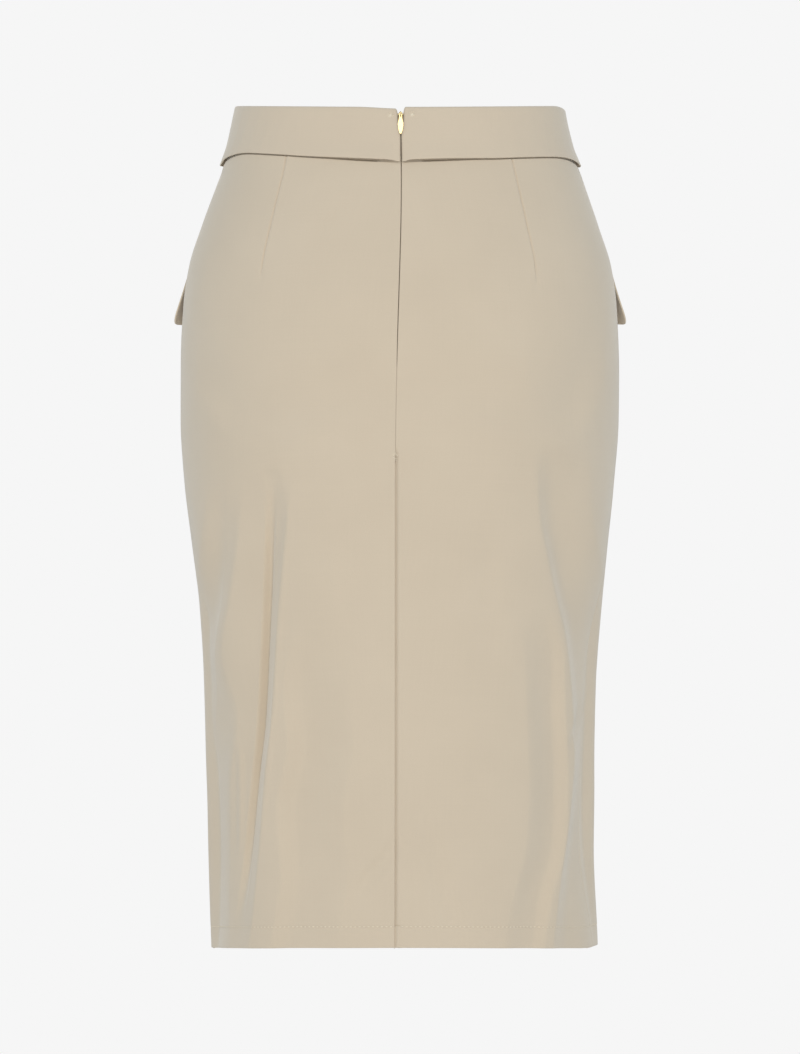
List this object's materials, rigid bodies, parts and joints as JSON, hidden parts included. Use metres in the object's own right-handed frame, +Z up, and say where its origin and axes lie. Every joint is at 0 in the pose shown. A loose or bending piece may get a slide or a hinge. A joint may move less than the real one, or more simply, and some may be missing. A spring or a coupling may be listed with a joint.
{
  "type": "pencil skirt",
  "caption": "Worn knee-length pencil skirt, hollow, with a folded waistband, back zip with a pull, darts, hip pocket flaps and a closed back vent",
  "frame": {"origin": "the middle of the waistband's top edge, level with its left side, where the wearer's waist holds the skirt up", "axes": "+Z up, along the skirt. -Y is the skirt's back, with the zip, which the picture shows, and +Y its front. +X is the wearer's right, which is the picture's right. Left and right in node names are as seen from behind"},
  "size_m": [0.3509, 0.2395, 0.651],
  "materials": {
    "skirt_cloth": "plain khaki cotton with a little stretch, fine weave, dull with a faint sheen",
    "waistband_cloth": "the same khaki cotton, doubled and pressed",
    "zip_tape": "matt woven polyester tape",
    "zip_metal": "pale gold plated, smooth"
  },
  "bodies": {
    "skirt": {"front_panel": "skirt_cloth", "back_panel_left": "skirt_cloth", "back_panel_right": "skirt_cloth", "waistband_front": "waistband_cloth", "waistband_back_left": "waistband_cloth", "waistband_back_right": "waistband_cloth", "pocket_flap_left": "skirt_cloth", "pocket_flap_right": "skirt_cloth", "zip_tape_left": "zip_tape", "zip_tape_right": "zip_tape", "zip_slider": "zip_metal"},
    "zip_pull": {"zip_pull": "zip_metal"}
  },
  "joints": [
    {"name": "pull_swing", "type": "hinge", "parent": "skirt", "child": "zip_pull", "pos_m": [0.00046, -0.08982, -0.01097], "axis": [-1, 0, 0], "range_deg": [0, 150]}
  ]
}
